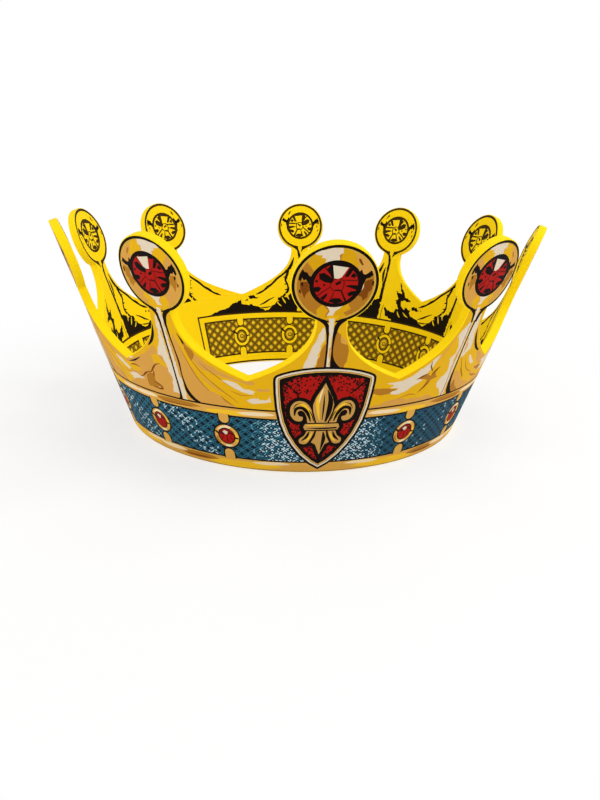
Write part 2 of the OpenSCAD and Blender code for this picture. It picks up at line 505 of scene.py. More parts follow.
# Print of the points, drawn about a point's middle line with heights up the wall
NECK_SHAPES = [
    ("black", [(-6.4, 82.6, 0.9), (-3.8, 81.4, 1.5), (-1.9, 79.2, 1.6), (-1.3, 75, 1.1)],
     [(6.6, 82.7, 0.9), (4.2, 81.5, 1.7), (2.2, 79.2, 2), (1.5, 75, 1.3)]),
    ("gold", [(-2.6, 84), (2.6, 84), (0.9, 80.6), (0.6, 78.4), (-0.8, 78.4), (-1, 80.6)]),
    ("cream", [(-1.4, 82.6), (0.8, 82.6), (0.7, 76), (-0.8, 76)]),
]
LEFT_PRINT = [
    ("tan", [(-1, 35), (-1, 42), (-4, 50), (-5, 57), (-8, 58.6), (-9.4, 62.4), (-13, 60), (-17, 56.6),
      (-22, 54), (-27, 52.2), (-31, 51), (-28, 47.4), (-33, 44.6), (-29, 40.6), (-34, 38), (-37, 35)]),
    ("gold", [(-12.4, 57), (-8.5, 58), (-7, 55.5), (-4.6, 54), (-4.4, 51.6), (-9, 52.8), (-12, 53)],
     [(-31, 49.5), (-27, 49), (-22.4, 46.5), (-26, 45), (-32, 45.6)]),
    ("ochre", [(-20.5, 41), (-20, 44.6), (-17, 46.8), (-14, 46.4), (-14.6, 43), (-12.6, 40.4),
      (-14.6, 38.8), (-19.6, 38.4)]),
    ("cream", [(-35, 42.4), (-28, 43.6), (-22, 41.8), (-28, 40.6), (-33, 41)],
     [(-33, 52.6), (-29, 53), (-25.4, 53.2), (-29, 51.6)]),
    ("brown", [(-25, 42.4, 0.2), (-22, 44, 0.7), (-20.4, 45.4, 1), (-18, 46.8, 0.5), (-15.6, 47.6, 0.6),
      (-13.6, 50, 1), (-11.4, 52.2, 0.6), (-8.6, 53.2, 0.2)],
     [(-14.4, 49, 0.3), (-14.3, 46.6, 0.8), (-15, 44.6, 0.2)],
     [(-16, 41.8, 0.2), (-12.8, 41.2, 0.8), (-11.2, 39.2, 1.1), (-13.6, 38.6, 0.8), (-17.4, 39, 0.2)],
     [(-31, 47.6, 0.2), (-27, 48.6, 0.8), (-23.6, 48, 0.2)]),
    ("black", [(-31, 49.6, 0.3), (-26, 51.2, 0.9), (-21, 54, 0.3)]),
    ("tan", [(2.5, 35), (2.8, 50), (2.6, 66), (4, 71), (5.6, 66), (6.2, 63), (8, 57), (10, 51),
      (12.6, 46.4), (15, 43.2), (19.4, 41.6), (22, 38.2), (25, 36.8), (27, 35)],
     [(7, 69.4), (8.6, 66.6), (12, 62.4), (17, 57.2), (23, 53.8), (28, 51.4), (33, 50.4), (36, 50.6),
      (36, 48.8), (32, 48.9), (28, 50), (24, 51.2), (18, 53), (13.4, 54.6), (9.4, 60.2), (7.6, 65)],
     [(36, 46.6), (42, 47.6), (42, 46), (37, 45.4)],
     [(12, 51.6, 0.3), (14.6, 48.4, 1.2), (18, 45.4, 0.9), (22, 43, 0.2)]),
    ("ochre", [(5.4, 65, 0.2), (7.6, 57, 0.5), (9.6, 51, 0.6), (12.4, 46, 0.5), (14.8, 43, 0.2)],
     [(8.8, 60.4, 0.2), (12, 54, 0.6), (15.5, 49.6, 0.5), (20, 45, 0.6), (24, 41.5, 0.5), (27, 38.6, 0.2)],
     [(13, 58, 0.2), (17, 54, 0.5), (21, 50.6, 0.5), (25, 47, 0.2)],
     [(25, 44.6, 0.2), (29, 43, 0.5), (34, 43.2, 0.2)],
     [(19.6, 41.4, 0.2), (21.4, 39, 0.9), (24.6, 36.6, 0.3)]),
    ("black", [(6, 71.4, 0.2), (7.4, 68.6, 0.9), (8.2, 66.4, 1.2), (9.6, 64.8, 0.2)]),
    ("ochre", [(7.6, 66.8), (10.8, 64.4), (12, 61.8), (9.6, 58), (8.4, 61.4)]),
    ("cream", [(21.6, 50), (24, 50.1), (27.5, 49.4), (29.6, 47.6), (32, 46.2), (35.4, 45.4), (34.6, 43.8),
      (31.6, 44.2), (28.4, 45.4), (26, 47), (23.6, 48.4)],
     [(31, 40.2), (33, 41.4), (36.8, 41.7), (36.4, 40.8), (39.6, 41), (41.6, 43.6), (41.6, 40.4),
      (39.5, 39.8), (36.6, 39.2), (33.6, 38.7)],
     [(-3, 78.8), (-2, 75), (-1.6, 70), (-1.2, 60), (-1, 42), (-1.4, 38.4), (-4.8, 38.8), (-4, 42),
      (-3.2, 47), (-4.6, 50), (-4.6, 54), (-5.6, 57.4), (-8.2, 58), (-7.5, 60), (-6.5, 62.5), (-5, 66),
      (-4.3, 70), (-4.2, 74)]),
    ("gold", [(-1.6, 66), (-2.6, 72), (-2.2, 64), (-2, 56)]),
    ("cream", [(-0.9, 78), (0.9, 78), (1.2, 66), (2, 56), (2, 48), (1.9, 42), (2.2, 35), (-0.4, 35),
      (-0.6, 48), (-0.7, 60)]),
    ("tan", [(0.5, 76), (1.2, 70), (2, 62), (2.6, 54), (2.2, 46), (1, 50), (0.8, 60), (0.3, 70)]),
    ("black", [(-1.3, 76, 1.1), (-1.1, 60, 0.85), (-1, 48, 0.85), (-1, 38, 1.2), (-2, 35, 2.2)],
     [(1.5, 76, 1.3), (1.8, 70, 0.9), (2.4, 63, 0.7), (2.9, 56, 0.9), (2.6, 50, 0.6), (2.9, 44, 1.2),
      (3.6, 40.5, 2), (5.6, 37.4, 2), (9, 35.4, 0.8)],
     [(-6.6, 76.6, 0.3), (-7, 72, 1.1), (-8, 68, 1.5), (-10, 64.6, 1.4), (-12.6, 62, 0.5)]),
]
RIGHT_PRINT = [
    ("tan", [(-34, 39.6), (-28, 39.4), (-20, 38), (-12, 38.6), (-5, 35), (-46, 35)]),
    ("ochre", [(-44, 46.6), (-39, 46.4), (-35, 45.4), (-29, 45.2), (-31, 42.6), (-36, 43), (-40, 44.4)]),
    ("cream", [(-13.4, 60.4), (-16, 58.8), (-20, 55.8), (-25, 52), (-30, 49.4), (-37, 48.8), (-40, 49.4),
      (-34, 47.2), (-36, 46), (-31, 45.6), (-35, 43.2), (-30, 42), (-26, 43.6), (-22, 46.4), (-19, 48.4),
      (-17.6, 52), (-14.6, 57.4)]),
    ("ochre", [(-19, 41.4), (-15.5, 45.5), (-13.5, 47.4), (-10.4, 48.2), (-12, 49.4), (-13, 51.4),
      (-14.5, 49.5), (-17, 50.6), (-22.5, 49), (-18.5, 48.4), (-16.4, 47.4), (-17, 45)]),
    ("brown", [(-19.4, 41, 0.2), (-16.8, 44, 1.1), (-14.4, 46.4, 0.3)],
     [(-23, 48.8, 0.2), (-20, 50, 1.1), (-16.6, 51.2, 0.3)],
     [(-15, 49.6, 0.3), (-13.2, 51.8, 1.3), (-11, 54, 0.2)],
     [(-17.4, 57.4, 0.2), (-17, 54.6, 0.8), (-15, 52, 0.4)]),
    ("ochre", [(-30, 39.4, 0.2), (-24, 41, 0.6), (-20, 40.2, 0.2)]),
    ("tan", [(-14, 57, 0.2), (-11.4, 61, 1.2), (-9, 66, 0.8), (-7, 71, 0.2)]),
    ("cream", [(-0.6, 79), (-2, 76), (-5.2, 71.4), (-6.6, 68.5), (-4.6, 65), (-3.6, 62), (-3.8, 59.4),
      (-6.6, 57), (-5.4, 54), (-4.5, 50.4), (-8.8, 45), (-8, 42), (-5.4, 40.6), (-2.6, 35), (-0.4, 35)]),
    ("gold", [(-2.2, 62), (-3.4, 56), (-2.8, 50), (-1.8, 56)]),
    ("tan", [(1, 35), (1, 47), (3, 49.4), (7, 46.4), (11, 42), (17, 39.6), (27, 35)]),
    ("ochre", [(3, 35), (3.2, 41), (4.4, 43.4), (6, 41), (8, 38.4), (13, 35)]),
    ("tan", [(15, 58), (22, 54.4), (30, 51.4), (34, 50.4), (34, 45), (26, 47), (20, 50.4)]),
    ("ochre", [(19, 43, 0.2), (24, 41, 1.4), (31, 39.6, 0.4)]),
    ("cream", [(1.2, 79.6), (4.2, 78.6), (4.6, 74), (5, 70), (6.2, 65), (7.6, 60.4), (4, 57), (1, 56.4)]),
    ("tan", [(1.6, 67), (3.6, 62), (3.2, 58), (2, 61)]),
    ("cream", [(9.4, 56.2), (12, 54.8), (17.6, 49.4), (15, 49.8), (12, 52)],
     [(22, 47, 0.1), (27, 44, 1.3), (34, 42.6, 0.3)]),
    ("ochre", [(2.4, 57, 0.2), (5.6, 51, 0.7), (8.6, 46.4, 0.6), (12.4, 42, 0.2)],
     [(7, 55, 0.2), (10, 50, 0.6), (14, 46.6, 0.6), (20, 44, 0.2)]),
    ("brown", [(6, 49.6, 0.2), (8.4, 46.6, 0.7), (11.6, 43.4, 0.2)]),
    ("black", [(5.8, 71, 0.3), (7.4, 66.6, 1.3), (10, 62.4, 1.6), (13.5, 59, 1.4), (17.4, 57, 0.6)]),
    ("brown", [(-1.1, 77, 0.3), (-1.5, 64, 0.4), (-2, 52, 0.4), (-1.6, 40, 0.5), (-2.6, 35, 0.6)]),
    ("black", [(1.1, 78, 1.2), (0.6, 70, 0.9), (0.4, 58, 0.9), (0.6, 48, 1.3), (1.2, 42, 2.2), (3, 37.4, 3),
      (6, 35, 1.6)]),
]
FRONT_PRINT = [
    ("ochre", [(20, 47), (25, 46), (32, 45.4), (34, 43), (26, 42.6), (20, 44)],
     [(1.6, 77.4), (4.2, 75), (4.6, 71), (7.4, 70), (8, 65), (6.6, 58), (1.2, 58)]),
    ("tan", [(4.2, 74.6), (4.6, 71), (7.4, 70), (6, 73)]),
    ("ochre", [(-1, 71), (-2.4, 70), (-3.6, 66), (-5, 58), (-1, 58)]),
    ("cream", [(-2.4, 78.6), (-3.5, 78), (-4.8, 75), (-5.5, 72), (-7.2, 68), (-8.5, 63.5), (-10, 58),
      (-5.2, 58), (-4.2, 64), (-3.6, 69.4), (-2.3, 72), (-2.1, 76)],
     [(-0.8, 78), (0.7, 78), (0.8, 58), (-0.7, 58)]),
    ("tan", [(0.2, 72), (0.9, 70), (0.9, 58), (0.3, 58)]),
    ("black", [(-1.3, 76, 1.1), (-1, 68, 0.8), (-1.1, 58, 1)],
     [(1.5, 76, 1.4), (1.2, 70, 0.8), (1.3, 65, 0.9), (2, 61, 2.4), (3.2, 58, 4.4)]),
]


def draw_outer_point(art, k):
    shapes = LEFT_PRINT if k < FRONT_POINT else RIGHT_PRINT
    if k == FRONT_POINT:
        shapes = FRONT_PRINT
    draw_shapes(art, spot(point_turn(k), 0), shapes, POINT_TEAR, draws("point", k))


def draw_neck(art, k):
    draw_shapes(art, spot(point_turn(k), 0), NECK_SHAPES, NECK_TEAR, draws("neck", k))


# Band of interlaced rings, with strips above and below and medallions on pins
PANEL_CELL = (5.4, 4.8)
PANEL_RING = (2.64, 2.34)
PANEL_ROWS = 5
PANEL_LINE = 0.36
PANEL_DARK = (1.15, 1.0)
PANEL_PALE = (0.45, 0.42)
# Pale shine: beside the shield, and on slanting streaks between medallions; on the right the streaks are
# fewer and the rings take a darker teal, as painted shade
SHINE_FULL = 24.5
SHINE_END = 28.5
SHINE_SHARE = 0.6
STREAK_LEAN = 0.86
STREAK_HALF = 6.0
STREAK_SHARE = {-1: 0.42, 1: 0.1}
# rings on the right side are drawn in the darker teal, as painted shade
RING_INK = {-1: "teal", 1: "shaded_teal"}
DASHES = 8
DASH_LENGTH = 0.62
DASH_LINE = 0.5


def streak_gap(x, s):
    """Distance from the slanting streak between two medallions."""
    step = flat_x(MEDALLION_STEP) * stretch(s)
    past = abs(x) * stretch(s) - flat_x(MEDALLION_FIRST) * stretch(s)
    return abs((past % step) - step / 2 - STREAK_LEAN * (s - PANEL_MIDDLE)) if past > 0 else step


def arc_band(cx, cs, start, sweep, width, steps=4):
    """A piece of one of the lattice's rings."""
    rx, rs = PANEL_RING
    angles = [start + sweep * i / (steps - 1) for i in range(steps)]
    outer, inner = ([(cx + (rx + w) * cos(a), cs + (rs + w) * sin(a)) for a in angles]
                    for w in (width / 2, -width / 2))
    return outer + inner[::-1]


def lattice(start, columns, rows, cell, middle):
    """Middles of the cells of a staggered lattice, row by row."""
    for row in range(-rows, rows + 1):
        for c in range(columns):
            yield start + (c + (row % 2) / 2) * cell[0], middle + row * cell[1] / 2


def draw_cell(art, x, s, rng):
    """One ring of the lattice, with its dark middle and pale dashes where it shines."""
    across = abs(x) * stretch(s)
    side = 1 if x > 0 else -1
    shine = across < SHINE_END
    share = 0
    if shine:
        share = SHINE_SHARE
    elif streak_gap(x, s) < STREAK_HALF:
        share = STREAK_SHARE[side]
    pale = "mist" if SHINE_FULL < across < SHINE_END else "ice"
    art.add("deep_navy", disc(*PANEL_DARK, 4, x, s))
    for quarter in range(4):
        art.add(RING_INK[side], arc_band(x, s, quarter * pi / 2, pi / 2, PANEL_LINE))
    for dash in range(DASHES):
        if rng.random() < share:
            start = tau * (dash + rng.uniform(0, 1 - DASH_LENGTH)) / DASHES
            art.add(pale, arc_band(x, s, start, tau * DASH_LENGTH / DASHES, DASH_LINE, 2))
    if shine:
        art.add(pale, disc(*PANEL_PALE, 4, x, s))


def draw_panel(art):
    rng = draws("panel")
    art.add("navy", box(PRINT_START, STRIP_LOW[1], PRINT_END, STRIP_HIGH[0]))
    columns = int((flat_x(SEAM_TURN) + LAP_PRINT - PRINT_START) / PANEL_CELL[0])
    for x, s in lattice(PRINT_START, columns, PANEL_ROWS, PANEL_CELL, PANEL_MIDDLE):
        draw_cell(art, x, s, rng)


# How far the print goes on below the lower edge, and the top of the black line along it
BELOW_EDGE = 3
EDGE_LINE = 0.7
# Streaks along the strips on each side of the front, and so on round the crown: ink, ends, height and width
STREAKS_REPEAT = 64.0
STREAKS_COUNT = 5
STREAK_TIP = 0.05
STREAKS = [
    ("strip_yellow", 27, 47, 32.4, 2.4),
    ("strip_cream", 18, 33, 33.1, 1.9),
    ("ochre", 48, 72, 33.4, 2.3),
    ("brown", 51, 69, 32.2, 0.5),
    ("strip_cream", 70, 86, 33.2, 2.0),
    ("strip_yellow", 15, 53, 2.7, 3.4),
    ("strip_cream", 12, 29, 4.6, 1.7),
    ("ochre", 45, 67, 3.6, 3.0),
    ("brown", 48, 64, 2.9, 0.8),
    ("strip_cream", 62, 80, 4.1, 2.2),
]


def draw_strips(art):
    """Gold strips above and below the panel, with long streaks and black lines along them."""
    for low, high in ((STRIP_LOW[0] - BELOW_EDGE, STRIP_LOW[1]), STRIP_HIGH):
        art.add("strip_gold", box(PRINT_START, low, PRINT_END, high))
    for ink, start, end, s, width in STREAKS:
        for n in range(STREAKS_COUNT):
            for way in (-1, 1):
                a, b = (way * (x + n * STREAKS_REPEAT) for x in (start, end))
                art.add(ink, stroke([(a, s, STREAK_TIP), (mix(a, b, 0.25), s + 0.2, width),
                                     (mix(a, b, 0.75), s - 0.1, width), (b, s, STREAK_TIP)]))
    for s in (STRIP_HIGH[1], STRIP_HIGH[0], STRIP_LOW[1]):
        art.add("black", box(PRINT_START, s - LINE / 2, PRINT_END, s + LINE / 2))
    art.add("black", box(PRINT_START, -BELOW_EDGE, PRINT_END, EDGE_LINE))


MEDALLION = (6.5, 7.1)
PIN_HALF = 2.3
PIN_LINE = 0.65
# How far a pin is sunk into its strip and into its medallion
PIN_ROOT = 0.8
PIN_OVERLAP = 0.2
# How far the medallion's gold, the stone's dark edge and the stone are drawn in from its outline
MEDALLION_GOLD = 0.75
STONE_EDGE = 2.4
STONE = 3.0
MEDALLION_SHAPES = [
    ("strip_cream", [(-4.2, 3.4), (-2, 5.4), (0.6, 6.2), (2.8, 5.4), (1.6, 4.4), (-0.6, 4.8), (-2.6, 3.6)],
     [(-1.8, -6), (0.4, -6.3), (2.4, -5.4), (1, -4.9), (-0.8, -5.1)]),
    ("strip_yellow", [(3.9, 2.8), (5.6, 0.6), (5.1, -2.2), (4, -3), (4.3, 0)]),
    ("ochre", [(-5.3, -1.2), (-4.4, -0.8), (-4.2, -2.4), (-3, -4.2), (-3.8, -4.6), (-5, -3)]),
    ("black", [(-6, 2.6, 0.2), (-4.9, 2, 1), (-3.6, 0.9, 1)],
     [(6, -0.9, 0.2), (4.9, -0.8, 0.9), (3.6, -0.5, 1)]),
]
STONE_SHAPES = [
    ("dark_red", [(-3.4, 0.8), (-2.5, 2.7), (0.4, 3.7), (2.8, 2.1), (3.4, 0.4), (1.4, 1.4), (-0.6, 1.2),
      (-1.6, 0.2)],
     [(0, 0.8, 0.8), (0.1, -1.2, 0.5), (0.3, -3.2, 0.9)],
     [(-1.6, 0, 0.3), (-2.3, -1.5, 0.5), (-2.6, -2.4, 0.2)],
     [(1.7, 0.2, 0.3), (2.3, -1.5, 0.5), (2.4, -2.6, 0.2)]),
    ("cream", [(-1.8, 2.3), (-0.7, 3.2), (0.9, 2.6), (0.3, 1.1), (-0.4, 0.8)]),
]


def pin(half, reach, root, steps=8):
    """A round-ended tab from a strip at height root towards the middle, reach long."""
    way = 1 if reach > 0 else -1
    points = [(-half, root - way * PIN_ROOT)]
    for i in range(steps + 1):
        a = pi * i / steps
        points.append((-half * cos(a), root + reach - way * half * (1 - sin(a))))
    points.append((half, root - way * PIN_ROOT))
    return points


def draw_pins(art, u, panel, middle, line, fill):
    """The two pins that hold a medallion, one from each strip."""
    place = spot(u, 0)
    for root, way in ((panel[0], 1), (panel[1], -1)):
        reach = abs(middle - root) - MEDALLION[1] + PIN_OVERLAP
        art.add(line, place(pin(PIN_HALF + PIN_LINE, way * reach, root)))
        art.add(fill, place(pin(PIN_HALF, way * (reach - PIN_LINE), root)))


def oval(drawn_in, steps=36):
    """The medallion's outline, drawn in."""
    return disc(MEDALLION[0] - drawn_in, MEDALLION[1] - drawn_in, steps)


def draw_medallion(art, u):
    rng = draws("medallion")
    draw_pins(art, u, (STRIP_LOW[1], STRIP_HIGH[0]), PANEL_MIDDLE, "black", "strip_gold")
    middle = spot(u, PANEL_MIDDLE)
    art.add("black", middle(oval(0)))
    art.add("strip_gold", middle(oval(MEDALLION_GOLD)))
    draw_shapes(art, middle, MEDALLION_SHAPES, MEDALLION_TEAR, rng)
    art.add("black", middle(oval(STONE_EDGE)))
    art.add("red", middle(oval(STONE)))
    draw_shapes(art, middle, STONE_SHAPES, STONE_TEAR, rng)


def medallion_turns():
    """Turns of all medallions, which stand evenly on both sides of the shield."""
    steps = [MEDALLION_FIRST + n * MEDALLION_STEP for n in range(MEDALLIONS_EACH_SIDE)]
    return [way * u for u in steps for way in (-1, 1)]


SHIELD_HALF = [
    (0, 59.3), (5, 59.1), (10, 58.4), (14.5, 57.3), (18.6, 55.8), (20.9, 54.6), (21.8, 53.2), (21.9, 51),
    (21.5, 45), (20.6, 37), (18.9, 29), (16.4, 22), (13, 15.6), (9, 9.8), (4.6, 5.2), (0, 1.8)]
SHIELD_LINES = ((0, "black"), (1.1, "cream"), (2.0, "black"), (2.2, "strip_gold"), (2.7, "black"))
SHIELD_GROUND = 4.4
SHIELD_MIDDLE = 34.0
SPECK_COUNT = 1000
SPECK_REACH = 9
SPECK_SIZES = (0.2, 0.58)


def inset_shape(points, amount):
    """A closed anticlockwise outline drawn in by amount."""
    out = []
    for i, (x, s) in enumerate(points):
        nx, ns, mitre = corner_normal(points, i, SHAPE_MITRE)
        out.append((x - nx * mitre * amount, s - ns * mitre * amount))
    return out


def mirrored(half):
    """A closed outline, anticlockwise, from its right half listed from top to bottom."""
    return half[::-1] + [(-x, s) for x, s in half if x > 0]


# Heraldic lily: whole leaves on the middle line, and side leaves that are drawn on both sides
LILY_MIDDLE = [
    [(0, 25.4), (2, 25.4), (2.5, 21.6), (4, 18.2), (2.1, 17), (0, 11)],
    [(0, 51), (1.6, 47.4), (3.5, 43.4), (4.5, 39.4), (4.1, 35.6), (3, 31.8), (2.2, 28.6), (0, 28.6)],
    [(0, 28.8), (7.2, 28.8), (7.9, 27.1), (7.2, 25.4), (0, 25.4)],
]
LILY_SIDE = [
    [(6, 29), (6.7, 32.4), (8, 35.4), (9.7, 36.3), (10.8, 35), (10, 33.2), (8.4, 32.6), (9, 30.4),
     (11.8, 30.8), (13.8, 34), (13.8, 38.4), (11.6, 41.2), (8.2, 41), (5.6, 38), (3.8, 33.2), (2.6, 29)],
    [(3, 25.2), (4.3, 20.4), (6.1, 17.4), (8.8, 17.6), (9.3, 20), (7.2, 22.2), (5.9, 25.2)],
]
LILY_OUTLINE = 1.9
LILY_GAP = 0.7
LILY_SHADES = [
    ("black", [(1.2, 47.4, 0.3), (2.8, 42, 2), (2.6, 36, 2.2), (1.4, 30, 0.8)]),
    ("strip_yellow", [(-0.9, 47.6, 0.3), (-2.5, 42, 1.6), (-2.2, 36.4, 1.2), (-1.2, 31, 0.3)]),
    ("strip_cream", [(-0.6, 48.4, 0.2), (-1.6, 44.4, 0.8), (-1.9, 40.6, 0.3)]),
    ("black", [(0, 45, 0.2), (0.1, 38.6, 0.8), (0, 31, 0.3)]),
    ("strip_yellow", [(-6.4, 27.9, 0.3), (-2.4, 28.1, 0.9), (1.6, 27.9, 0.3)]),
    ("black", [(-6.6, 26.4, 0.2), (0, 26.2, 0.9), (6.8, 26.4, 0.9)],
     [(0.9, 24.4, 0.4), (1.4, 20, 1.7), (0.4, 13.4, 0.3)]),
]
LILY_SIDE_SHADES = [
    ("strip_yellow", [(4.6, 32.4, 0.3), (6.6, 37, 1.3), (9.3, 39.8, 1.2), (11.4, 39.2, 0.4)]),
    ("black", [(5, 30.2, 0.4), (6.4, 34.6, 1.5), (8.8, 37.6, 1.6), (11.6, 37, 1.5), (12, 33.4, 0.5)],
     [(3.6, 30.4, 0.3), (4.6, 33.6, 0.5), (6, 36.4, 0.2)],
     [(9.2, 40.2, 0.2), (11.6, 39.4, 0.5), (12.8, 37, 0.2)]),
    ("strip_yellow", [(3.8, 24.2, 0.3), (5, 20.8, 1), (6.8, 18.6, 0.4)]),
    ("black", [(5.2, 24.4, 0.4), (6.2, 21.4, 1.3), (8.2, 19.2, 0.4)]),
]


def draw_lily(art, place, other):
    leaves = [(put, smooth_closed(shape)) for put in (place, other) for shape in LILY_SIDE]
    middles = [mirrored(half) for half in LILY_MIDDLE]
    for put, shape in leaves + [(place, shape) for shape in middles]:
        art.add("black", put(inset_shape(shape, -LILY_OUTLINE)))
    for put, shape in leaves:
        art.add("lily_gold", put(shape))
    for put in (place, other):
        draw_shapes(art, put, LILY_SIDE_SHADES)
    for shape in middles:
        art.add("black", place(inset_shape(shape, -LILY_GAP)))
        art.add("lily_gold", place(shape))
    draw_shapes(art, place, LILY_SHADES)


def draw_shield(art):
    """A plain heraldic shield: pale rim, stippled red ground and a gold lily."""
    rng = draws("shield")
    place = spot(0, 0)
    edge = mirrored(SHIELD_HALF)
    for inset, ink in SHIELD_LINES:
        art.add(ink, place(inset_shape(edge, inset) if inset else edge))
    ground = inset_shape(edge, SHIELD_GROUND)
    art.add("red", place(torn(ground, *SHIELD_TEAR, rng)))
    for _ in range(SPECK_COUNT):
        a = rng.randrange(len(ground))
        b = (a + 1) % len(ground)
        t = rng.random()
        inward = rng.random() ** 2 * SPECK_REACH
        x = mix(ground[a][0], ground[b][0], t)
        s = mix(ground[a][1], ground[b][1], t)
        reach = hypot(x, s - SHIELD_MIDDLE) or 1
        x, s = x - x / reach * inward, s - (s - SHIELD_MIDDLE) / reach * inward
        art.add("black", place(disc(rng.uniform(*SPECK_SIZES), steps=4, dx=x, ds=s)))
    draw_lily(art, place, spot(0, 0, -1))


def draw_outer():
    art = Print()
    for k in range(POINT_COUNT):
        draw_outer_point(art, k)
    for k in range(POINT_COUNT):
        draw_outer_ball(art, k)
        draw_neck(art, k)
    draw_panel(art)
    draw_strips(art)
    for u in medallion_turns():
        draw_medallion(art, u)
    draw_shield(art)
    return art


# Inner face: black print on yellow foam, in register with the outer one
INNER_RING = 16.7
INNER_RING_LINE = 1.5
INNER_RING_GAP = [(-1.7, -14.8), (1.5, -14.8), (1, -17.8), (-1.2, -17.8)]
INNER_GEM = {"rim": 1.55, "bold": 1.8, "swell": 1.1}
INNER_POINT_SHAPES = [
    [(0.6, 33), (0.2, 62), (1.9, 60), (2.1, 52), (2.8, 48), (6.8, 47), (8.6, 44.6), (12, 45.4),
     (15.6, 44.4), (16, 42.6), (14.4, 41.6), (17, 41), (18, 39.4), (20.4, 38.4), (21.4, 36.8), (25, 34.6),
     (36, 33)],
    [(-40, 33), (-40, 34.8), (-35, 36.6), (-33, 38.6), (-28, 39.6), (-26, 40.6), (-25, 42.6), (-22, 45),
     (-20, 45.6), (-20.4, 43.2), (-18, 44.6), (-16.4, 47), (-16.2, 49), (-18.4, 49.8), (-24, 49),
     (-24, 50.2), (-18.6, 52), (-17.6, 55), (-15, 57.2), (-13.6, 60.6), (-12.4, 61.2), (-14, 56.6),
     (-15.4, 53.6), (-12, 54.2), (-10.4, 55.6), (-12, 52.4), (-13.4, 50.4), (-11, 48.6), (-13.4, 46),
     (-14.8, 42.6), (-13, 43.4), (-12, 40.2), (-9.6, 40.2), (-5.6, 41.6), (-3.8, 43.2), (-3, 42),
     (-4.6, 38.4), (-6, 36.6), (-10.6, 35.4), (-11, 33)],
    [(29, 45), (33, 44.9), (35, 46.7), (39.4, 45.9), (38.2, 44.2), (34, 43.8)],
]
INNER_POINT_STROKES = [
    [(4.4, 74, 0.5), (6, 69, 2), (9, 64.5, 1.8), (13, 61, 1.4), (17, 58, 1.7), (21, 54, 1.5), (24, 52, 1.9),
     (27, 49.5, 1.3), (30, 48, 1.5), (33, 46.8, 0.3)],
    [(7.6, 66, 0.4), (9, 62, 2), (10.4, 57.4, 1.6), (8.8, 54, 1.2), (8, 50, 1.7), (10, 47, 1.7),
     (13, 44, 1.4)],
    [(18.6, 44.6, 0.4), (23, 42.5, 1.1), (26, 40.7, 1.3), (30, 39, 0.3)],
    [(21, 38, 0.3), (25, 37.2, 0.9), (31, 37, 0.3)],
    [(39, 43.4, 1.2), (41.4, 42.6, 0.3)],
    [(2.2, 71, 0.3), (3, 66, 1.8), (2.2, 60, 0.9)],
    [(4.6, 73, 0.3), (5.6, 69, 1.4), (7, 65, 0.5)],
    [(-6.4, 82.6, 0.9), (-3.8, 81.5, 1.4), (-2, 80.2, 1.3), (-1.4, 78.4, 0.4)],
    [(6.4, 82.6, 0.9), (3.6, 81.4, 1.5), (1.4, 79.6, 1.6), (0.3, 75, 1.6)],
    [(0.2, 77, 1.7), (0.3, 66, 1.7), (1, 56, 2), (1.2, 46, 2.4)],
    [(-2.6, 44.6, 0.3), (-1.6, 40, 0.5), (-1.8, 34, 0.5)],
    [(8, 63.4, 1.6), (11, 64.6, 0.3)],
    [(9, 58.8, 1.9), (12.2, 59.4, 0.3)],
    [(8.4, 54.4, 1.7), (11.4, 54, 0.3)],
    [(7.8, 50.6, 1.6), (10.8, 49.8, 0.3)],
]
# Bare foam that shows in the black
INNER_POINT_SLITS = [
    [(9.8, 47.6, 0.4), (8.6, 45.2, 1.1), (7.2, 43, 0.3)],
    [(12.8, 44.8, 0.3), (11, 42, 1), (9.6, 40, 0.3)],
    [(16.8, 41.6, 0.3), (14.6, 39.2, 0.9), (12.8, 38, 0.3)],
    [(-14.6, 41.4, 0.3), (-15.8, 39.2, 0.9), (-17.6, 37.6, 0.3)],
    [(-19.4, 41.4, 0.3), (-21.6, 39.8, 0.9), (-24.4, 38.6, 0.3)],
]
# Black over the frame's end, past the last point
INNER_END_SHAPE = [
    (24, 33), (24, 34.6), (29, 36.6), (33, 38.6), (37, 40.2), (38, 39.2), (41, 40), (44, 40.4),
    (44.4, 43.8), (46.4, 43), (48, 41.6), (52, 40.6), (54, 38.8), (58, 37.6), (64, 36), (70, 34.8),
    (70, 33)]


def draw_inner_point(art, k):
    rng = draws("inner_point", k)
    place = spot(point_turn(k), 0, print_way(k))
    for shape in INNER_POINT_SHAPES:
        art.add("inner_line", place(torn(shape, *INNER_FIELD_TEAR, rng)))
    for line in INNER_POINT_STROKES:
        art.add("inner_line", place(torn(stroke(line), *INNER_STROKE_TEAR, rng)))
    for line in INNER_POINT_SLITS:
        art.add("inner_yellow", place(stroke(line)))
    if k == POINT_COUNT - 1:
        art.add("inner_line", place(torn(INNER_END_SHAPE, *INNER_FIELD_TEAR, rng)))


def draw_inner_ball(art, k):
    place = spot(point_turn(k), BALL_HEIGHT, print_way(k))
    art.add("inner_brown", place(disc(INNER_RING, steps=64)))
    art.add("inner_yellow", place(disc(INNER_RING - INNER_RING_LINE, steps=64)))
    art.add("inner_yellow", place(INNER_RING_GAP))
    blacks = [points for ink, *outlines in BALL_SHAPES for points in outlines
              if ink == "black" or points is BALL_DASH]
    draw_shapes(art, place, [("inner_line", *blacks)], BALL_TEAR, draws("inner_ball", k))
    draw_gem(art, place, "inner_yellow", "inner_brown", "inner_brown", **INNER_GEM)


INNER_CELL = (6.0, 6.0)
INNER_ROWS = 4
INNER_LOZENGE = (2.75, 2.7)
INNER_DOT = (1.2, 1.3)
FRAME_WIDTH = 4.4
# Turns from the frame's ends within which no medallion stands
FRAME_SPARE = (4, 6)


